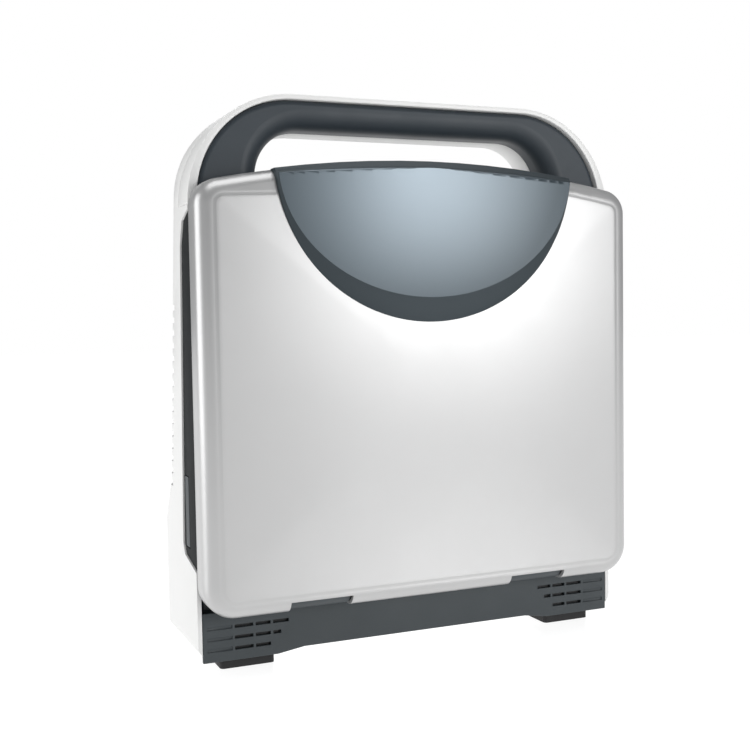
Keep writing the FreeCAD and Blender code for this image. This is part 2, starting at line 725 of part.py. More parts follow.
def deck():
    frame_y = ("frame_front", "frame_back")
    frame = joined("frame_whole", [
        block("frame_plate", both("frame_half"), frame_y, ("frame_low", "rim_low - gap")),
        block("frame_bar", both("hand_half - gap"), frame_y, ("deck_top + ledge", "frame_top"))])
    rooms = [
        block("deck_room", both("deck_half"), ("frame_front - wall", "deck_back"), ("deck_low", "deck_top")),
        block("deck_through", both("deck_half - ledge"), ("frame_front", "0"),
              ("deck_low + ledge", "deck_top - ledge"))]
    for side in (-1, 1):
        start = f"{side} * tooth_x - tooth_wide / 2 - free"
        rooms.append(block("tooth_room", (start, f"{start} + tooth_wide + catch_travel + 2 * free"),
                           ("frame_front - wall", "frame_back - wall"), ("tooth_low - wall", "high")))
    keep("front_frame", cut("frame_ring", frame, rooms))
    y = ("deck_front - wall", "deck_back + wall")
    holes = []
    for label, places, z, size in key_rows():
        x = (f"{places[0]} - {size} / 2 - free", f"{places[-1]} + {size} / 2 + free")
        holes.append(block(f"{label}_hole", x, y, about(z, f"{size} + 2 * free")))
    for number in range(int(measure("slider_count"))):
        z = f"slider_low + {number} * slider_pitch"
        holes.append(block("slider_slot", both_about("slider_x", "slider_travel + slider_stem + free"), y,
                           about(z, "slider_stem + 2 * free")))
    for side in (-1, 1):
        holes.append(block("set_hole", about(f"{side} * set_x", "set_wide + 2 * free"), y,
                           about("ball_z", "set_high + 2 * free")))
        holes.append(rod("round_hole", "Y", (f"{side} * round_x", "round_z"), y, "round_r + free"))
        holes.append(rod("knob_hole", "Y", (f"{side} * knob_x", "knob_z"), y, "knob_r / 3 + free"))
    holes.append(rod("power_hole", "Y", ("power_x", "function_z"), y, "power_r + free"))
    holes.append(rod("ball_hole", "Y", ("0", "ball_z"), y, "ball_r + free"))
    plate = block("deck_plate", both("deck_half - gap"), ("deck_front", "deck_back"),
                  ("deck_low + gap", "deck_top - gap"))
    keep("control_deck", cut("deck_holes", plate, holes))
    board = block("pad_board_plate", both("deck_half - 2 * ledge"),
                  ("pad_board_y", "pad_board_y + board_thick"),
                  ("deck_low + 2 * ledge", "deck_top - 2 * ledge"))
    keep("keypad_board", cut("pad_board_hole", board, [
        rod("pad_ball_hole", "Y", ("0", "ball_z"), ("pad_board_y - wall", "0"), "ball_r + wall")]))


def soft_cap(solid, radius):
    """Rounds a cap's front edges."""
    doc.recompute()
    front = solid.Shape.BoundBox.YMin
    return rounded(solid, radius, lambda edge: abs(edge.CenterOfMass.y - front) < 0.01)


def controls():
    depth = ("cap_front", "cap_front + key_deep")
    for label, places, z, size in key_rows():
        keys = [soft_cap(block("key", about(x, size), depth, about(z, size)), "key_soft") for x in places]
        keep(label, group(f"{label}_set", keys))
    for side, name in ((-1, "right"), (1, "left")):
        cap = block("set_cap", about(f"{side} * set_x", "set_wide"), depth, about("ball_z", "set_high"))
        keep(f"set_key_{name}", soft_cap(cap, "cap_soft"))
    for side, label in ((-1, "freeze_key"), (1, "save_key")):
        cap = rod(f"{label}_cap", "Y", (f"{side} * round_x", "round_z"), depth, "round_r")
        keep(label, soft_cap(cap, "cap_soft"))
    for side, label in ((-1, "gain_knob"), (1, "menu_knob")):
        centre = (f"{side} * knob_x", "knob_z")
        dial = rod(f"{label}_dial", "Y", centre, ("cap_front", "deck_front - free"), "knob_r")
        dial = soft_cap(dial, "free")
        stem = rod(f"{label}_stem", "Y", centre, ("deck_front - wall", "pad_board_y - free"), "knob_r / 3")
        keep(label, joined(f"{label}_whole", [dial, stem]))
    power_cap = rod("power_cap", "Y", ("power_x", "function_z"), depth, "power_r")
    keep("power_button", soft_cap(power_cap, "free"))
    for number in range(int(measure("slider_count"))):
        z = f"slider_low + {number} * slider_pitch"
        cap = block("slider_cap", about("slider_x", "slider_wide"), ("cap_front", "deck_front - gap"),
                    about(z, "slider_high"))
        stem = block("slider_neck", about("slider_x", "2 * slider_stem"),
                     ("deck_front - wall", "pad_board_y - free"), about(z, "slider_stem"))
        keep(f"gain_slider_{number + 1}", joined("slider_whole", [soft_cap(cap, "free"), stem]))
    ball = doc.addObject("Part::Sphere", "ball")
    bind(ball, Radius="ball_r", _at_y="ball_y", _at_z="ball_z")
    keep("trackball", ball)
    ring = rod("ring_disc", "Y", ("0", "ball_z"), ("deck_front - wall", "deck_front"), "ring_r")
    ring = soft_cap(ring, "free")
    keep("trackball_ring", cut("ring_open", ring, [
        rod("ring_hole", "Y", ("0", "ball_z"), ("-deep", "0"), "ball_r - wall / 2 + free")]))
    cup = rod("cup_body", "Y", ("0", "ball_z"), ("pad_board_y + board_thick + gap", "ball_y + ball_r + wall"),
              "ball_r + cup_wall")
    hollow = doc.addObject("Part::Sphere", "cup_hollow")
    bind(hollow, Radius="ball_r + gap", _at_y="ball_y", _at_z="ball_z")
    keep("trackball_cup", cut("cup", cup, [hollow]))


# ---------------------------------------------------------------- inner pieces

def inner_pieces(screens):
    tray = block("tray_block", both("tray_half"), ("tray_y", "tray_y + tray_deep"), ("tray_low", "tray_top"))
    keep("chassis_tray", cut("tray", tray, [
        block("tray_room", both("tray_half - tray_sheet"), ("tray_y + tray_sheet", "deep"),
              ("tray_low + tray_sheet", "tray_top - tray_sheet"))]))
    keep("main_board", block("main_board_plate", both("main_half"), ("main_y", "main_y + board_thick"),
                             ("main_low", "main_top")))
    probe_y = "probe_board_y + board_thick"
    keep("probe_board", block("probe_board_plate", both("probe_board_half"), ("probe_board_y", probe_y),
                              ("main_low", "probe_board_top")))
    sink_z = ("sink_low", "sink_low + sink_high")
    base = block("sink_base", both("sink_half"), (probe_y, f"{probe_y} + wall"), sink_z)
    fins = []
    for number in range(int(measure("fin_count"))):
        x = about(f"fin / 2 - sink_half + {number} * (2 * sink_half - fin) / (fin_count - 1)", "fin")
        fins.append(block("sink_fin", x, (f"{probe_y} + wall / 2", f"{probe_y} + sink_deep"), sink_z))
    keep("heat_sink", joined("sink", [base] + fins))
    fan_y = ("fan_y", "fan_y + fan_deep")
    frame = block("fan_block", about("fan_x", "fan_size"), fan_y, about("fan_z", "fan_size"))
    tunnel = rod("fan_tunnel", "Y", ("fan_x", "fan_z"), ("fan_y + fan_deep / 6", "0"),
                 "fan_size / 2 - wall / 2")
    mouth = rod("fan_mouth", "Y", ("fan_x", "fan_z"), ("fan_y - wall", "fan_y + wall"),
                "fan_size / 2 - wall")
    keep("fan_frame", cut("fan_duct", frame, [tunnel, mouth]))
    rotor_y = ("fan_y + fan_deep / 3", "fan_y + fan_deep")
    hub = rod("fan_hub", "Y", ("fan_x", "fan_z"), rotor_y, "hub_r")
    blades = []
    for number in range(int(measure("blade_count"))):
        angle = number * 360 / measure("blade_count")
        blade = doc.addObject("Part::Box", "fan_blade")
        turn = FreeCAD.Rotation(FreeCAD.Vector(0, 1, 0), angle)
        blade.Placement = FreeCAD.Placement(FreeCAD.Vector(), turn)
        bind(blade, Length="fan_size / 2 - wall - hub_r", Width="fan_deep / 2", Height="wall / 2")
        bind(blade, _at_x=f"fan_x + (hub_r - wall / 2) * cos({angle})", _at_y="fan_y + 2 * fan_deep / 5",
             _at_z=f"fan_z - (hub_r - wall / 2) * sin({angle})")
        blades.append(blade)
    keep("fan_rotor", joined("rotor", [hub] + blades))
    keep("speaker", rod("speaker_can", "Y", ("speaker_x", "speaker_z"),
                        ("pad_board_y + 2 * board_thick", "tray_y - gap"), "speaker_r"))
    battery = block("battery", both("battery_half"),
                    ("door_front - gap - battery_deep", "door_front - gap"),
                    ("battery_low", "battery_top"))
    keep("battery_pack", rounded(battery, "wall", lambda edge: runs(edge, "x")))
    power_x = both_about("-inner_half + power_half + 2 * wall", "power_half")
    keep("power_module", block("power_block", power_x, ("tray_y + tray_deep + wall", "back - back_round"),
                               ("power_low", "power_top")))
    filters = []
    for side in (-1, 1):
        rear_low = f"{back_at('filter_low')} - filter_in"
        rear_top = f"{back_at('filter_top')} - filter_in"
        outline = [(f"{rear_low} - filter_deep", "filter_low"), (rear_low, "filter_low"),
                   (rear_top, "filter_top"), ("tray_y + tray_sheet + filter_room", "filter_top")]
        x = ("tray_half - 3 * wall", "tray_half - 2 * wall + gap")
        x = x if side > 0 else (f"-({x[1]})", f"-({x[0]})")
        filters.append(prism("filter", "YZ_Plane", outline, x[0], x[1]))
    keep("air_filters", group("filters", filters + screens))


def battery_door():
    plate = block("door_plate", both("door_half - free"), ("door_front", "back"),
                  ("door_low + free", "door_top - free"))
    groove = block("door_groove", both("door_half / 4"), ("back - wall / 3", "deep"),
                   about("door_top - 4 * wall", "wall"))
    keep("battery_door", cut("door", plate, [groove]))
    slab = block("latch_slab", both_about("latch_x", "latch_half"), ("door_front - wall / 2", "back"),
                 about("latch_z", "4 * latch_half - 2 * free"))
    thumb = block("latch_thumb", both_about("latch_x", "latch_half / 3"),
                  ("back - wall / 2", "back + wall / 2"), about("latch_z", "2 * latch_half"))
    keep("battery_latch", joined("latch", [slab, thumb]))


def sockets():
    out = "shell_half - gap"
    body = block("socket_block", (f"{out} - socket_deep", out), ("socket_front + gap", "socket_back - gap"),
                 ("socket_low + gap", "socket_top - gap"))
    mouth_y = both_about("(socket_front + socket_back) / 2", "mouth_half")
    mouth = block("socket_mouth", (f"{out} - socket_deep + wall", "wide"), mouth_y,
                  about("(socket_low + socket_top) / 2", "mouth_high"))
    contacts = block("contact_block", (f"{out} - socket_deep + wall / 2", f"{out} - socket_deep / 3"),
                     both_about("(socket_front + socket_back) / 2", "contact_half"),
                     about("(socket_low + socket_top) / 2", "mouth_high - 2 * wall"))
    keep("probe_socket", joined("socket_whole", [cut("socket", body, [mouth]), contacts]))
    dial = rod("dial_disc", "X", ("dial_y", "dial_z"), ("inner_half", out), "dial_r")
    bar = block("dial_bar", ("inner_half", "wide / 2"), both_about("dial_y", "wall"),
                both_about("dial_z", "dial_r - wall / 2"))
    keep("probe_lock_knob", joined("dial", [dial, bar]))
    usb_x = ("-frame_half + wall", "-frame_half + 7 * wall")
    middle = "(usb_low + usb_top) / 2"
    body = block("usb_block", usb_x, ("frame_back + gap", "tray_y - gap"), about(middle, "usb_top - usb_low"))
    mouths = [block("usb_mouth", ("-wide", "-frame_half + 6 * wall"), about("usb_y", "usb_wide"),
                    about(f"{middle} + {side} * usb_apart", "usb_long")) for side in (-1, 1)]
    keep("usb_ports", cut("usb", body, mouths))
    cover_x = ("-frame_half - gap - trim_thick", "-frame_half - gap - trim_thick + wall")
    cover = block("cover_plate", cover_x, both_about("usb_y", "usb_half - free"),
                  ("usb_low + free", "usb_top - free"))
    keep("port_cover", rounded(cover, "free", lambda edge: runs(edge, "x")))
    ports = (("power_inlet", "inlet_x", "inlet_wide", (0,)), ("data_ports", "data_x", "data_wide", (-1, 1)))
    for label, x, width, mouth_sides in ports:
        body = block(f"{label}_block", about(x, f"{width} - 2 * gap"), about("port_y", "port_deep - 2 * gap"),
                     ("foot_high + gap", "foot_high + port_high"))
        mouth_wide = f"{width} / {len(mouth_sides)} - 2 * wall"
        mouths = [block(f"{label}_mouth", about(f"{x} + {side} * {width} / 4", mouth_wide),
                        about("port_y", "port_deep - 2 * wall"), ("0", "foot_high + port_high - wall"))
                  for side in mouth_sides]
        keep(label, cut(f"{label}_shell", body, mouths))


# ---------------------------------------------------------------- lid

def lid_outline(inset):
    half = f"(wide / 2 - ({inset}))"
    bow = f"((({half})^2 + lid_rise^2) / (2 * lid_rise))"
    bend = f"(lid_low_round - ({inset}))"
    low = f"(lid_low + ({inset}))"
    side = f"(lid_side - ({inset}))"
    return [(f"-({half}) + {bend}", low), (f"{half} - {bend}", low, bend), (half, f"{low} + {bend}"),
            (half, side, bow), (f"-{half}", side), (f"-{half}", f"{low} + {bend}", bend)]


def lid_slab(name, inset, y):
    """The lid's outline padded from y[0] to y[1], its upper corners rounded."""
    body = prism(name, "XZ_Plane", lid_outline(inset), y[0], y[1])
    side_z = measure(f"lid_side - ({inset})")
    return soften(body, f"lid_top_round - ({inset})",
                  lambda edge: runs(edge, "y") and abs(edge.CenterOfMass.z - side_z) < 0.01)


def hinge_room(name, grown):
    """The space a lid piece leaves round the hinge covers."""
    tools = []
    for side in (-1, 1):
        near = f"cover_near - ({grown})"
        far = f"cover_far + ({grown})"
        ends = (near, far) if side > 0 else (f"-({far})", f"-({near})")
        tools.append(rod(f"{name}_round", "X", ("hinge_y", "hinge_z"), ends, f"cover_r + ({grown})"))
        tools.append(block(f"{name}_notch", ends, ("-deep", "0"), ("0", "lid_low + notch_high")))
        tools.append(block(f"{name}_back", ends, ("hinge_y", "0"), ("0", f"hinge_z + cover_r + ({grown})")))
    return tools


def badge(name, inset, y):
    disc = rod(f"{name}_disc", "Y", ("0", "lid_top + badge_up"), y, f"badge_r - ({inset})")
    return shared(name, disc, lid_slab(f"{name}_slab", f"gap + ({inset})", y))


def lid():
    slab = lid_slab("lid_outer", "0", ("lid_front", "lid_back"))
    front = measure("lid_front")
    slab = soften(slab, "lid_soft", lambda edge: abs(edge.CenterOfMass.y - front) < 0.01)
    hollow = lid_slab("lid_hollow", "wall", ("lid_front + wall", "lid_back + wall"))
    floor = measure("lid_front + wall")
    hollow = soften(hollow, "lid_soft - wall", lambda edge: abs(edge.CenterOfMass.y - floor) < 0.01)
    shell = cut("lid_shell_open", slab, [hollow])
    keep("lid_shell", cut("lid_shell_notched", shell, hinge_room("lid", "free")))
    pad = badge("badge_pad", "0", ("lid_front - badge_proud", "lid_front + lid_soft"))
    pad_front = measure("lid_front - badge_proud")
    pad = rounded(pad, "badge_round", lambda edge: abs(edge.CenterOfMass.y - pad_front) < 0.01)
    keep("lid_crescent", cut("badge_over_lid", pad, [slab]))

    bezel = lid_slab("bezel_plate", "wall + gap", ("lid_back - bezel_thick", "lid_back"))
    window = block("bezel_window", both("view_half"), ("lid_front", "0"), about("view_z", "view_high"))
    keep("display_bezel", cut("bezel", bezel, hinge_room("bezel", "free") + [window]))
    glass_y = "lid_back - bezel_thick"
    keep("screen_glass", block("glass", both("view_half + glass_lap"), (f"{glass_y} - glass_thick", glass_y),
                               about("view_z", "view_high + 2 * glass_lap")))
    panel_y = f"{glass_y} - glass_thick"
    keep("display_panel", block("panel", both("view_half + panel_lap"), (f"{panel_y} - panel_thick", panel_y),
                                about("view_z", "view_high + 2 * panel_lap")))

    covers = []
    pins = []
    arms = []
    for side in (-1, 1):
        ends = ("cover_near", "cover_far") if side > 0 else ("-cover_far", "-cover_near")
        drum = rod("cover_drum", "X", ("hinge_y", "hinge_z"), ends, "cover_r")
        neck = block("cover_neck", ends, ("hinge_y", "trough_back - wall"),
                     both_about("hinge_z", "neck_half"))
        bore = rod("cover_bore", "X", ("hinge_y", "hinge_z"), both("wide"), "pin_r + running")
        covers.append(cut("cover", joined("cover_solid", [drum, neck]), [bore]))
        near = "cover_near - free - arm_wide"
        far = "cover_far + free + arm_wide"
        ends = (near, far) if side > 0 else (f"-({far})", f"-({near})")
        pins.append(rod("pin", "X", ("hinge_y", "hinge_z"), ends, "pin_r"))
        for start in (near, "cover_far + free"):
            y = ("hinge_y - 2 * pin_r + gap", "lid_back - bezel_thick - gap")
            arm = sided_block("arm", side, start, f"{start} + arm_wide", y,
                              ("hinge_z - arm_low", "hinge_z + arm_high"))
            hole = rod("arm_hole", "X", ("hinge_y", "hinge_z"), both("wide"), "pin_r")
            arms.append(cut("arm_bored", arm, [hole]))
    keep("hinge_covers", group("hinge_cover_pair", covers))
    keep("hinge_pins", group("hinge_pin_pair", pins))
    keep("hinge_arms", group("hinge_arm_set", arms))

    bar_y = ("lid_back + gap", "lid_back + gap + catch_thick")
    pieces = [block("catch_bar", both("catch_half"), bar_y, ("catch_z", "catch_z + catch_high"))]
    for side in (-1, 1):
        x = about(f"{side} * tooth_x", "tooth_wide")
        pieces.append(block("tooth_stem", x, bar_y, ("tooth_low", "catch_z + wall")))
        pieces.append(block("tooth_hook", x, ("lid_back + gap", "lid_back + gap + 3 * catch_thick"),
                            ("tooth_low", "tooth_low + wall")))
    keep("latch_bar", joined("catch", pieces))


rear_housing()
handle()
trims()
vent_screens = end_panel()
feet()
deck()
controls()
inner_pieces(vent_screens)
battery_door()
sockets()
lid()
doc.removeObject("ruler")
doc.recompute()

for thing in doc.Objects:
    if {"Invalid", "Error"} & set(thing.State):
        raise RuntimeError(f"{thing.Label} failed: {thing.State}")
for label, solid in kept.items():
    if solid.Shape.isNull() or not solid.Shape.isValid() or not solid.Shape.Solids:
        raise RuntimeError(f"{label} has no good solid")
os.makedirs("parts", exist_ok=True)
for label, solid in kept.items():
    solid.Shape.exportStep(f"parts/{label}.step")
print(len(kept), "sub-parts")
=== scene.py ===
import bpy
import bmesh
import json
import math
from mathutils import Matrix, Vector

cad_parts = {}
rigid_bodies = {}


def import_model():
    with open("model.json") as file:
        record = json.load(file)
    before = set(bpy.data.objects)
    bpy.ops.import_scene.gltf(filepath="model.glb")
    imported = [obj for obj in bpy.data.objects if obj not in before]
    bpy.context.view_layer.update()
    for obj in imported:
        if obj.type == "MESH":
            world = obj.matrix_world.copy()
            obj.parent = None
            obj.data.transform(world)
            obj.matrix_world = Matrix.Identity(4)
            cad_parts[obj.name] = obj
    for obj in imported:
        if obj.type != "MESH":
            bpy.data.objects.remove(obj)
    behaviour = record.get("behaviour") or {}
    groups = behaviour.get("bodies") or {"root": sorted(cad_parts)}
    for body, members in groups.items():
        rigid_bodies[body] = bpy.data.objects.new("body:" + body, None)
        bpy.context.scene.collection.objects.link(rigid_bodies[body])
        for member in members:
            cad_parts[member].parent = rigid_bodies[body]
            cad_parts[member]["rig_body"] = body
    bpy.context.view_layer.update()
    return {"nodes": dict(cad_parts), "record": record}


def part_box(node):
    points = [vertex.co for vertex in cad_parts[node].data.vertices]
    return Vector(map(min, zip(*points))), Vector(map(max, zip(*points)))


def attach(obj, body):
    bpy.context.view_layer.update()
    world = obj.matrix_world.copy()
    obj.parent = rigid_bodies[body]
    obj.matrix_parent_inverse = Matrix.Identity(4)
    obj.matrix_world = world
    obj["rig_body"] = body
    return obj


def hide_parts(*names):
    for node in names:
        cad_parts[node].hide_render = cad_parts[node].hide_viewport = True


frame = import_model()
nodes = frame["nodes"]
MM = 0.001


# ------------------------------------------------------------------ camera, light and floor

def set_camera():
    """A view from in front and from the left, looking a little down."""
    yaw, pitch, roll = math.radians(22.99), math.radians(3.16), math.radians(-0.95)
    forward = Vector((math.sin(yaw) * math.cos(pitch), math.cos(yaw) * math.cos(pitch), -math.sin(pitch)))
    right = Vector((math.cos(yaw), -math.sin(yaw), 0))
    up = right.cross(forward)
    right_rolled = right * math.cos(roll) + up * math.sin(roll)
    up_rolled = up * math.cos(roll) - right * math.sin(roll)
    data = bpy.data.cameras.new("view_camera")
    data.sensor_width = 36
    data.lens = 53.72
    place = Vector((-300.55, -671.9, 212.2)) * MM
    camera = bpy.data.objects.new("view_camera", data)
    turn = Matrix((right_rolled, up_rolled, -forward)).transposed().to_4x4()
    camera.matrix_world = Matrix.Translation(place) @ turn
    bpy.context.scene.collection.objects.link(camera)
    bpy.context.scene.camera = camera


def area_light(name, place, aim, size, power):
    data = bpy.data.lights.new(name, "AREA")
    data.shape = "RECTANGLE"
    data.size, data.size_y = size
    data.energy = power
    lamp = bpy.data.objects.new(name, data)
    direction = Vector(aim) - Vector(place)
    lamp.matrix_world = Matrix.Translation(place) @ direction.to_track_quat("-Z", "Y").to_matrix().to_4x4()
    bpy.context.scene.collection.objects.link(lamp)


def set_studio():
    area_light("key_softbox", (0.60, -1.2, 0.40), (0.03, 0, 0.2), (0.42, 0.42), 4.2)
    area_light("overhead_softbox", (0.0, -0.25, 1.15), (0, 0, 0.2), (1.2, 0.7), 5)
    area_light("left_softbox", (-1.05, 0.25, 0.35), (0, 0.02, 0.2), (0.8, 0.9), 5.2)
    area_light("back_softbox", (0.5, 1.1, 0.9), (0, 0, 0.17), (1.0, 0.8), 4)
    world = bpy.data.worlds.new("studio")
    world.use_nodes = True
    tree = world.node_tree
    room = tree.nodes["Background"]
    room.inputs["Color"].default_value = (0.96, 0.98, 1.0, 1)
    room.inputs["Strength"].default_value = 0.22
    backdrop = tree.nodes.new("ShaderNodeBackground")
    backdrop.inputs["Color"].default_value = (1, 1, 1, 1)
    backdrop.inputs["Strength"].default_value = 1.0
    rays = tree.nodes.new("ShaderNodeLightPath")
    mix = tree.nodes.new("ShaderNodeMixShader")
    tree.links.new(rays.outputs["Is Camera Ray"], mix.inputs["Fac"])
    tree.links.new(room.outputs["Background"], mix.inputs[1])
    tree.links.new(backdrop.outputs["Background"], mix.inputs[2])
    tree.links.new(mix.outputs["Shader"], tree.nodes["World Output"].inputs["Surface"])
    bpy.context.scene.world = world
    bpy.context.scene.view_settings.view_transform = "Standard"


def set_floor():
    """White paper, bright enough to run into the backdrop, with a faint gloss."""
    bpy.ops.mesh.primitive_plane_add(size=12, location=(0, 0, 0))
    floor = bpy.context.object
    floor.name = "studio_floor"
    material, shader, tree = new_material("floor_paper")
    shader.inputs["Base Color"].default_value = (0.22, 0.22, 0.22, 1)
    shader.inputs["Roughness"].default_value = 0.2
    shader.inputs["Emission Color"].default_value = (1, 1, 1, 1)
    shader.inputs["Emission Strength"].default_value = 0.9
    floor.data.materials.append(material)


# ------------------------------------------------------------------ materials

def new_material(name):
    material = bpy.data.materials.new(name)
    material.use_nodes = True
    return material, material.node_tree.nodes["Principled BSDF"], material.node_tree


def noise(tree, scale, detail=4.0, distortion=0.0):
    """A noise texture on the piece's own coordinates."""
    place = tree.nodes.new("ShaderNodeTexCoord")
    texture = tree.nodes.new("ShaderNodeTexNoise")
    texture.inputs["Scale"].default_value = scale
    texture.inputs["Detail"].default_value = detail
    texture.inputs["Distortion"].default_value = distortion
    tree.links.new(place.outputs["Object"], texture.inputs["Vector"])
    return texture


def ramp(tree, source, stops):
    """Maps a value to colours: stops are (position, colour)."""
    node = tree.nodes.new("ShaderNodeValToRGB")
    first, last = node.color_ramp.elements
    first.position, first.color = stops[0][0], (*stops[0][1], 1)
    last.position, last.color = stops[-1][0], (*stops[-1][1], 1)
    for position, colour in stops[1:-1]:
        element = node.color_ramp.elements.new(position)
        element.color = (*colour, 1)
    tree.links.new(source, node.inputs["Fac"])
    return node


def remap(tree, source, low, high):
    node = tree.nodes.new("ShaderNodeMapRange")
    node.inputs["To Min"].default_value = low
    node.inputs["To Max"].default_value = high
    tree.links.new(source, node.inputs["Value"])
    return node.outputs["Result"]


def shade(colour, factor):
    return tuple(min(channel * factor, 1) for channel in colour)


def moulded(name, colour, roughness, grain=2600, depth=0.02, variation=0.05, spread=0.06, **sockets):
    """Moulded plastic: spark-eroded grain, faint mottling and handling marks in the gloss."""
    material, shader, tree = new_material(name)
    mottle = noise(tree, 14, 3)
    tones = [(0.3, shade(colour, 1 - variation)), (0.7, shade(colour, 1 + variation))]
    tone = ramp(tree, mottle.outputs["Fac"], tones)
    tree.links.new(tone.outputs["Color"], shader.inputs["Base Color"])
    wipe = noise(tree, 38, 6, 0.8)
    gloss = remap(tree, wipe.outputs["Fac"], roughness - spread, roughness + spread)
    tree.links.new(gloss, shader.inputs["Roughness"])
    fine = noise(tree, grain, 2)
    bump = tree.nodes.new("ShaderNodeBump")
    bump.inputs["Strength"].default_value = depth * 10
    bump.inputs["Distance"].default_value = 0.00006
    tree.links.new(fine.outputs["Fac"], bump.inputs["Height"])
    tree.links.new(bump.outputs["Normal"], shader.inputs["Normal"])
    for socket, value in sockets.items():
        shader.inputs[socket.replace("_", " ")].default_value = value
    return material


def metal(name, colour, roughness, scale=(40, 40, 900)):
    """Brushed or rolled metal with streaks along one direction."""
    material, shader, tree = new_material(name)
    place = tree.nodes.new("ShaderNodeTexCoord")
    stretch = tree.nodes.new("ShaderNodeMapping")
    stretch.inputs["Scale"].default_value = scale
    texture = tree.nodes.new("ShaderNodeTexNoise")
    texture.inputs["Scale"].default_value = 3
    texture.inputs["Detail"].default_value = 5
    tree.links.new(place.outputs["Object"], stretch.inputs["Vector"])
    tree.links.new(stretch.outputs["Vector"], texture.inputs["Vector"])
    tone = ramp(tree, texture.outputs["Fac"], [(0.25, shade(colour, 0.82)), (0.75, shade(colour, 1.08))])
    tree.links.new(tone.outputs["Color"], shader.inputs["Base Color"])
    gloss = remap(tree, texture.outputs["Fac"], roughness * 0.7, roughness * 1.4)
    tree.links.new(gloss, shader.inputs["Roughness"])
    shader.inputs["Metallic"].default_value = 1
    return material


def paint_with_painted_highlight(name, light, dark, middle, highlight_reach, roughness):
    """Metallic paint with a painted highlight: lighter round one place and darker away from it."""
    material, shader, tree = new_material(name)
    place = tree.nodes.new("ShaderNodeTexCoord")
    centre = tree.nodes.new("ShaderNodeMapping")
    centre.vector_type = "TEXTURE"
    centre.inputs["Location"].default_value = middle
    centre.inputs["Scale"].default_value = (highlight_reach, highlight_reach, highlight_reach)
    # Painted highlight: the colour is lightest round the given middle and darkens out to the reach.
    highlight_fade = tree.nodes.new("ShaderNodeTexGradient")
    highlight_fade.gradient_type = "SPHERICAL"
    tree.links.new(place.outputs["Object"], centre.inputs["Vector"])
    tree.links.new(centre.outputs["Vector"], highlight_fade.inputs["Vector"])
    tone = ramp(tree, highlight_fade.outputs["Fac"], [(0.0, dark), (0.9, light)])
    tree.links.new(tone.outputs["Color"], shader.inputs["Base Color"])
    flake = noise(tree, 2600, 2)
    gloss = remap(tree, flake.outputs["Fac"], roughness - 0.04, roughness + 0.04)
    tree.links.new(gloss, shader.inputs["Roughness"])
    shader.inputs["Metallic"].default_value = 0.55
    shader.inputs["Coat Weight"].default_value = 0.4
    shader.inputs["Coat Roughness"].default_value = 0.25
    return material


def circuit(name):
    """Green solder mask with lighter tracks and an uneven gloss."""
    material, shader, tree = new_material(name)
    place = tree.nodes.new("ShaderNodeTexCoord")
    tracks = tree.nodes.new("ShaderNodeTexBrick")
    tracks.inputs["Scale"].default_value = 90
    tracks.inputs["Mortar Size"].default_value = 0.012
    tracks.inputs["Color1"].default_value = (0.012, 0.10, 0.05, 1)
    tracks.inputs["Color2"].default_value = (0.016, 0.13, 0.065, 1)
    tracks.inputs["Mortar"].default_value = (0.03, 0.24, 0.12, 1)
    turn = tree.nodes.new("ShaderNodeMapping")
    turn.inputs["Rotation"].default_value = (math.radians(90), 0, 0)
    tree.links.new(place.outputs["Object"], turn.inputs["Vector"])
    tree.links.new(turn.outputs["Vector"], tracks.inputs["Vector"])
    tree.links.new(tracks.outputs["Color"], shader.inputs["Base Color"])
    tree.links.new(remap(tree, noise(tree, 300, 3).outputs["Fac"], 0.3, 0.5), shader.inputs["Roughness"])
    return material


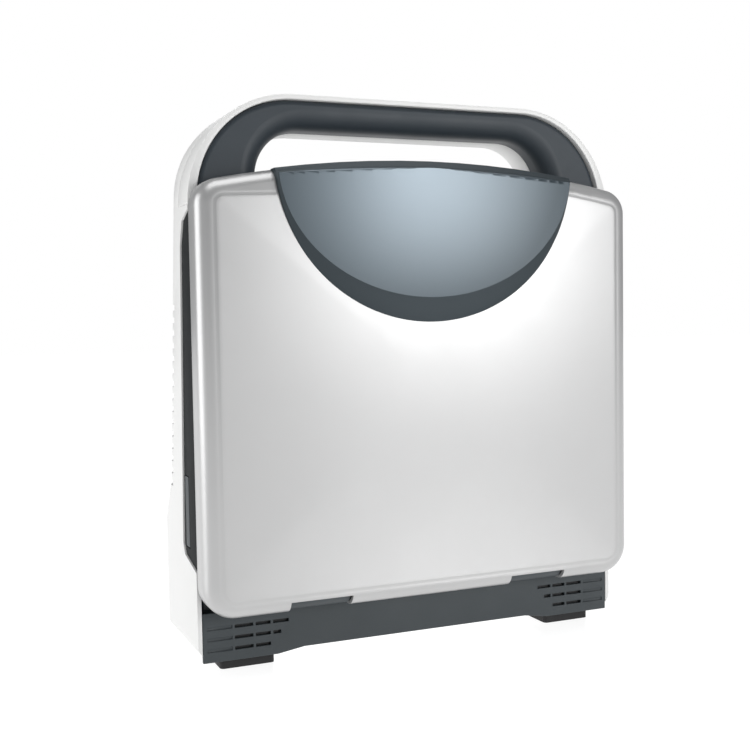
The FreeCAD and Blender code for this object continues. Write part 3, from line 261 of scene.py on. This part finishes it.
def make_materials():
    made = {
        "shell_white": moulded("white_housing", (0.86, 0.86, 0.85), 0.36, 1800, 0.012, 0.012, 0.04,
                               Coat_Weight=0.15, Coat_Roughness=0.25),
        "lid_silver": moulded("silver_white_lid", (0.54, 0.54, 0.54), 0.34, 1800, 0.010, 0.012, 0.03,
                              Metallic=0.6, Coat_Weight=0.2, Coat_Roughness=0.35),
        # The pad's colour carries a painted highlight, lightest at its top middle and darker towards the
        # margin.
        "crescent_grey": paint_with_painted_highlight("blue_grey_pad_painted_highlight", (0.19, 0.235, 0.27), (0.05, 0.067, 0.08),
                                      (-0.016, -0.058, 0.315), 0.108, 0.34),
        "grip_grey": moulded("slate_soft_grip", (0.034, 0.045, 0.056), 0.48, 1500, 0.05, 0.06, 0.07),
        "trim_dark": moulded("charcoal_trim", (0.040, 0.050, 0.056), 0.48, 1700, 0.04, 0.05, 0.07),
        # Painted shade: the side trims are the charcoal trim plastic made near-black for the shadow they
        # stand in.
        "side_trim": moulded("side_trim_painted_shade", (0.014, 0.016, 0.017), 0.6, 1700, 0.04, 0.05, 0.07,
                             Specular_IOR_Level=0.1),
        # The margin's darker colour is painted shade, for the dark that its steep slope turns to.
        "pad_margin": moulded("pad_margin_painted_shade", (0.032, 0.044, 0.052), 0.42, 2600, 0.01, 0.03, 0.04,
                              Metallic=0.4),
        "deck_grey": moulded("deck_grey", (0.20, 0.225, 0.24), 0.5, 1600, 0.04, 0.04, 0.06),
        "key_plastic": moulded("key_caps", (0.55, 0.57, 0.58), 0.42, 2400, 0.02, 0.03, 0.06),
        "accent_key": moulded("teal_key", (0.03, 0.28, 0.33), 0.4, 2400, 0.02, 0.04, 0.06),
        "ball_gloss": moulded("polished_ball", (0.03, 0.06, 0.16), 0.1, 900, 0.002, 0.15, 0.03,
                              Coat_Weight=1.0),
        "rubber": moulded("black_rubber", (0.018, 0.018, 0.019), 0.75, 1200, 0.07, 0.1, 0.08),
        "black_plastic": moulded("black_moulding", (0.015, 0.016, 0.017), 0.5, 1600, 0.04, 0.1, 0.08),
        "screen_glass": moulded("dark_screen_glass", (0.008, 0.010, 0.012), 0.12, 3000, 0.004, 0.05, 0.03,
                                Coat_Weight=0.6, Coat_Roughness=0.06),
        "ring_metal": metal("turned_ring", (0.62, 0.63, 0.64), 0.28),
        "aluminium": metal("rolled_aluminium", (0.74, 0.75, 0.76), 0.34, (30, 700, 30)),
        "steel": metal("plated_steel", (0.52, 0.52, 0.53), 0.26),
        "board_green": circuit("solder_mask"),
    }
    return made


def slot_of(node):
    for entry in frame["record"]["subparts"]:
        if entry["node"] == node:
            return entry["material_slot"]
    return None


# The lid's finish is its own colour; the side trims' finish is painted shade.
OWN_FINISH_AND_PAINTED_SHADE = {"lid_shell": "lid_silver", "side_trim_left": "side_trim", "side_trim_right": "side_trim"}


def finish_of(node):
    """Most pieces take their slot's finish; the lid has its own, and the side trims take a near-black copy
    of the trim plastic as painted shade.
    """
    return materials[OWN_FINISH_AND_PAINTED_SHADE.get(node, slot_of(node))]


def dress(piece, material):
    piece.data.materials.clear()
    piece.data.materials.append(material)


# ------------------------------------------------------------------ shaping helpers

def deselect():
    if bpy.context.object and bpy.context.object.mode != "OBJECT":
        bpy.ops.object.mode_set(mode="OBJECT")
    bpy.ops.object.select_all(action="DESELECT")


def select_only(piece):
    deselect()
    piece.select_set(True)
    bpy.context.view_layer.objects.active = piece


def apply_modifiers(piece):
    select_only(piece)
    for modifier in list(piece.modifiers):
        bpy.ops.object.modifier_apply(modifier=modifier.name)


def body_of(node):
    return nodes[node]["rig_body"]


def edged_copy(node, name, width, angle=30, segments=3, tidy_faces=False):
    """The node's own shape with its sharp edges rounded, standing for the node."""
    select_only(nodes[node])
    bpy.ops.object.duplicate()
    piece = bpy.context.object
    piece.name = name
    for key in list(piece.keys()):
        del piece[key]
    world = piece.matrix_world.copy()
    piece.parent = None
    piece.matrix_world = world
    select_only(piece)
    bpy.ops.object.mode_set(mode="EDIT")
    bpy.ops.mesh.select_all(action="SELECT")
    bpy.ops.mesh.remove_doubles(threshold=0.000002)
    if tidy_faces:
        bpy.ops.mesh.dissolve_limited(angle_limit=math.radians(0.6))
    bpy.ops.object.mode_set(mode="OBJECT")
    bevel = piece.modifiers.new("edge_rounding", "BEVEL")
    bevel.width = width
    bevel.segments = segments
    bevel.limit_method = "ANGLE"
    bevel.angle_limit = math.radians(angle)
    bevel.use_clamp_overlap = True
    bevel.harden_normals = False
    apply_modifiers(piece)
    bpy.ops.object.shade_smooth_by_angle(angle=math.radians(35))
    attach(piece, body_of(node))
    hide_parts(node)
    dress(piece, finish_of(node))
    return piece


# ------------------------------------------------------------------ lid

def facing_front(piece, y):
    """Selects the flat faces that look to the front at one depth, with the piece in edit mode."""
    bpy.ops.mesh.select_all(action="DESELECT")
    bpy.ops.mesh.select_mode(type="FACE")
    mesh = bmesh.from_edit_mesh(piece.data)
    for face in mesh.faces:
        flat = all(abs(corner.co.y - y) < 0.02 * MM for corner in face.verts)
        face.select_set(flat and face.normal.y < -0.99)
    bmesh.update_edit_mesh(piece.data)


def ring_step(centre, size, forward):
    """Draws the selected face in and brings it forward, leaving a ring of faces round it."""
    bpy.ops.mesh.extrude_region_move()
    bpy.ops.transform.resize(value=size, center_override=centre)
    bpy.ops.transform.translate(value=(0, -forward, 0))


def dome(centre, height, rings):
    """Raises the selected face into a shallow dome of rings that draw in to its centre."""
    inner = 1.0
    for ring in range(rings):
        outer = inner
        inner = math.cos(math.radians(90) * (ring + 1) / (rings + 1))
        ratio = inner / outer
        ring_step(centre, (ratio, 1, ratio), height * (outer ** 2 - inner ** 2))


LID_BOW = 1.5 * MM
LID_RINGS = 9
LID_TOP_RISE = 15.5 * MM


def crowned_lid():
    """The lid shell: a low step inside its rounded edge, and a face that bows a little to the front."""
    piece = edged_copy("lid_shell", "lid_shell_crowned", 0.5 * MM, 40, tidy_faces=True)
    low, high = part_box("lid_shell")
    select_only(piece)
    bpy.ops.object.mode_set(mode="EDIT")
    facing_front(piece, low.y)
    centre = (0, low.y, (low.z + high.z) / 2)
    bpy.ops.mesh.inset(thickness=0.35 * MM)
    bpy.ops.mesh.inset(thickness=1.5 * MM, depth=0.42 * MM)
    bpy.ops.mesh.inset(thickness=0.6 * MM, depth=0.06 * MM)
    dome(centre, LID_BOW, LID_RINGS)
    bpy.ops.object.mode_set(mode="OBJECT")
    bpy.ops.object.shade_smooth_by_angle(angle=math.radians(28))


def bow_height(x):
    """The lid's top edge at a distance from the middle."""
    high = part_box("lid_shell")[1]
    radius = (high.x ** 2 + LID_TOP_RISE ** 2) / (2 * LID_TOP_RISE)
    return high.z - radius + math.sqrt(radius ** 2 - x ** 2)


PAD_EDGE = 0.35 * MM
PAD_MIDDLE_UP = 1 * MM
PAD_OVER_LID = 0.25 * MM
# Depth in front of the side wall, for the margin and the face together.
PAD_SHAPED_DEPTH = 5.6 * MM
PAD_DOME = 2.05 * MM
PAD_MARGIN_DROP = 0.85 * MM
PAD_CUTS = 21
PAD_RINGS = 10
# Each ring of the margin: its size against the last, across and upward, and its step forward in mm.
PAD_MARGIN = [
    (0.998, 0.993, 0.7), (0.998, 0.972, 0.75), (0.997, 0.952, 0.6), (0.997, 0.942, 0.55),
    (0.996, 0.942, 0.5), (0.996, 0.962, 0.3),
]


def half_moon():
    """The dark half-moon pad: a sloping margin, widest below, round a gently bowed face; the margin takes a
    painted shade and the face a painted highlight.
    """
    low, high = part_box("lid_crescent")
    radius = high.x + PAD_EDGE
    centre_z = high.z + PAD_MIDDLE_UP
    deselect()
    bpy.ops.mesh.primitive_circle_add(vertices=180, radius=radius, fill_type="NGON",
                                      location=(0, high.y, centre_z), rotation=(math.radians(90), 0, 0))
    piece = bpy.context.object
    piece.name = "half_moon_pad"
    bpy.ops.object.transform_apply(location=True, rotation=True, scale=True)
    bpy.ops.object.mode_set(mode="EDIT")
    bpy.ops.mesh.select_all(action="SELECT")
    for number in range(PAD_CUTS):
        x = (2 * number / (PAD_CUTS - 1) - 1) * radius
        slope = (bow_height(x + MM) - bow_height(x - MM)) / (2 * MM)
        bpy.ops.mesh.select_all(action="SELECT")
        bpy.ops.mesh.bisect(plane_co=(x, 0, bow_height(x) + PAD_OVER_LID), plane_no=(-slope, 0, 1),
                            clear_outer=True, use_fill=False)
    bpy.ops.mesh.select_all(action="SELECT")
    bpy.ops.mesh.normals_make_consistent(inside=False)
    mesh = bmesh.from_edit_mesh(piece.data)
    if next(iter(mesh.faces)).normal.y > 0:
        bpy.ops.mesh.flip_normals()
    top = high.z
    step = high.y - low.y
    bpy.ops.mesh.extrude_region_move(TRANSFORM_OT_translate={"value": (0, PAD_SHAPED_DEPTH - step, 0)})
    for across, upward, forward in PAD_MARGIN:
        ring_step((0, 0, top), (across, 1, upward), forward * MM)
        bpy.ops.transform.translate(value=(0, 0, -PAD_MARGIN_DROP))
    bpy.ops.mesh.mark_sharp()
    mesh = bmesh.from_edit_mesh(piece.data)
    inner_face_top = max(corner.co.z for corner in mesh.verts if corner.select)
    inner_depth = min(corner.co.y for corner in mesh.verts)
    dome((0, 0, inner_face_top), PAD_DOME, PAD_RINGS)
    bpy.ops.mesh.select_all(action="SELECT")
    bpy.ops.object.mode_set(mode="OBJECT")
    bpy.ops.object.shade_smooth_by_angle(angle=math.radians(40))
    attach(piece, "lid")
    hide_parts("lid_crescent")
    dress(piece, materials["crescent_grey"])
    piece.data.materials.append(materials["pad_margin"])
    # Painted shade: the margin faces behind the bowed face take the darker colour.
    for face in piece.data.polygons:
        rearmost = max(piece.data.vertices[corner].co.y for corner in face.vertices)
        face.material_index = 1 if rearmost > inner_depth + 0.01 * MM else 0


# ------------------------------------------------------------------ softened edges

# Width of the rounding on each piece's sharp edges, in mm.
SOFT_EDGES = {
    "rear_housing": 0.9, "handle_front_rim": 0.9, "side_trim_left": 0.4, "side_trim_right": 0.4,
    "hinge_end_panel": 0.45, "hinge_covers": 0.4, "battery_door": 0.5, "battery_latch": 0.4,
    "standing_feet": 0.6, "back_feet": 0.8, "front_frame": 0.5, "control_deck": 0.25,
    "display_bezel": 0.4, "port_cover": 0.35, "probe_lock_knob": 0.35, "probe_socket": 0.35,
    "usb_ports": 0.25, "power_inlet": 0.3, "data_ports": 0.3, "latch_bar": 0.4, "trackball_ring": 0.4,
}


def soften_the_rest():
    """Rounds the sharp edges of the listed pieces, which get no other shaping."""
    for node, width in SOFT_EDGES.items():
        edged_copy(node, f"{node}_soft", width * MM)


# ------------------------------------------------------------------ keys and knobs

# Size of the dish against the flat face that it is pressed into.
LONE_KEYS = {
    "set_key_left": 0.8, "set_key_right": 0.8, "freeze_key": 0.8, "save_key": 0.8, "power_button": 0.76,
}

# Each step of the dish: its size against the last, and how much deeper it goes in mm.
DISH = [(0.92, 0.3), (0.8, 0.12)]


def dish_the_keys():
    """The keys that stand alone get a shallow dish for the fingertip."""
    for node, inner in LONE_KEYS.items():
        piece = edged_copy(node, f"{node}_dished", 0.1 * MM, 60, segments=1)
        low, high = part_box(node)
        centre = ((low.x + high.x) / 2, low.y, (low.z + high.z) / 2)
        select_only(piece)
        bpy.ops.object.mode_set(mode="EDIT")
        facing_front(piece, low.y)
        ring_step(centre, (inner, 1, inner), 0)
        for size, deeper in DISH:
            ring_step(centre, (size, 1, size), -deeper * MM)
        bpy.ops.object.mode_set(mode="OBJECT")
        bpy.ops.object.shade_smooth_by_angle(angle=math.radians(35))


KNOB_RIBS = 30
KNOB_DEPTH = 4.6 * MM
KNOB_RIB_ROOM = 0.6 * MM
KNOB_RIB_HEIGHT = 0.5 * MM
KNOB_STEM = 4 * MM


def knurled_knob(node):
    """A turned knob on its stem: ribs round its side and a dished face."""
    low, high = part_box(node)
    centre = (low + high) / 2
    radius = (high.x - low.x) / 2
    deselect()
    bpy.ops.mesh.primitive_cylinder_add(vertices=2 * KNOB_RIBS, radius=radius - KNOB_RIB_ROOM,
                                        depth=KNOB_DEPTH, end_fill_type="NGON",
                                        location=(centre.x, low.y + KNOB_DEPTH / 2, centre.z),
                                        rotation=(math.radians(90), 0, 0))
    piece = bpy.context.object
    piece.name = f"{node}_knurled"
    bpy.ops.object.transform_apply(location=True, rotation=True, scale=True)
    bpy.ops.object.mode_set(mode="EDIT")
    bpy.ops.mesh.select_mode(type="FACE")
    bpy.ops.mesh.select_all(action="DESELECT")
    mesh = bmesh.from_edit_mesh(piece.data)
    sides = [face for face in mesh.faces if abs(face.normal.y) < 0.1]
    sides.sort(key=lambda face: math.atan2(face.calc_center_median().z - centre.z,
                                           face.calc_center_median().x - centre.x))
    for number, face in enumerate(sides):
        face.select_set(number % 2 == 0)
    bmesh.update_edit_mesh(piece.data)
    bpy.ops.mesh.inset(thickness=0.25 * MM, use_individual=True)
    bpy.ops.mesh.extrude_faces_move(TRANSFORM_OT_shrink_fatten={"value": KNOB_RIB_HEIGHT})
    facing_front(piece, low.y)
    bpy.ops.mesh.inset(thickness=1.4 * MM)
    bpy.ops.mesh.inset(thickness=0.8 * MM, depth=-0.5 * MM)
    bpy.ops.mesh.inset(thickness=5.2 * MM, depth=-0.2 * MM)
    bpy.ops.object.mode_set(mode="OBJECT")
    stem_deep = high.y - low.y - KNOB_DEPTH
    bpy.ops.mesh.primitive_cylinder_add(vertices=32, radius=KNOB_STEM, depth=stem_deep, end_fill_type="NGON",
                                        location=(centre.x, high.y - stem_deep / 2, centre.z),
                                        rotation=(math.radians(90), 0, 0))
    stem = bpy.context.object
    bpy.ops.object.transform_apply(location=True, rotation=True, scale=True)
    deselect()
    stem.select_set(True)
    piece.select_set(True)
    bpy.context.view_layer.objects.active = piece
    bpy.ops.object.join()
    select_only(piece)
    bpy.ops.object.shade_smooth_by_angle(angle=math.radians(25))
    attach(piece, body_of(node))
    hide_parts(node)
    dress(piece, finish_of(node))


FUNCTION_KEYS = 6
FUNCTION_KEY_PITCH = 24 * MM
FUNCTION_KEY = 10.5 * MM
KEY_GAP = 0.6 * MM
RIB_OVER_KEYS = 1.6 * KEY_GAP


def function_key_ribs():
    """Ribs of the deck that fill its long slot between the function keys."""
    low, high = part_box("function_keys")
    deck_low, deck_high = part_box("control_deck")
    width = FUNCTION_KEY_PITCH - FUNCTION_KEY - 2 * KEY_GAP
    size = (width, deck_high.y - deck_low.y, high.z - low.z + RIB_OVER_KEYS)
    for number in range(FUNCTION_KEYS - 1):
        x = (number + 1 - FUNCTION_KEYS / 2) * FUNCTION_KEY_PITCH
        deselect()
        middle = (x, (deck_low.y + deck_high.y) / 2, (low.z + high.z) / 2)
        bpy.ops.mesh.primitive_cube_add(size=1, location=middle, scale=size)
        piece = bpy.context.object
        piece.name = f"function_key_rib_{number + 1}"
        bpy.ops.object.transform_apply(location=True, rotation=True, scale=True)
        bpy.ops.object.mode_set(mode="EDIT")
        facing_front(piece, deck_low.y)
        bpy.ops.mesh.inset(thickness=1.2 * MM)
        bpy.ops.mesh.inset(thickness=0.5 * MM, depth=0.35 * MM)
        bpy.ops.object.mode_set(mode="OBJECT")
        bevel = piece.modifiers.new("edge_rounding", "BEVEL")
        bevel.width = 0.2 * MM
        bevel.segments = 2
        apply_modifiers(piece)
        bpy.ops.object.shade_smooth_by_angle(angle=math.radians(30))
        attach(piece, "main_unit")
        dress(piece, materials["deck_grey"])


materials = make_materials()
for node, thing in nodes.items():
    dress(thing, finish_of(node))
crowned_lid()
half_moon()
soften_the_rest()
dish_the_keys()
knurled_knob("gain_knob")
knurled_knob("menu_knob")
function_key_ribs()

set_camera()
set_studio()
set_floor()
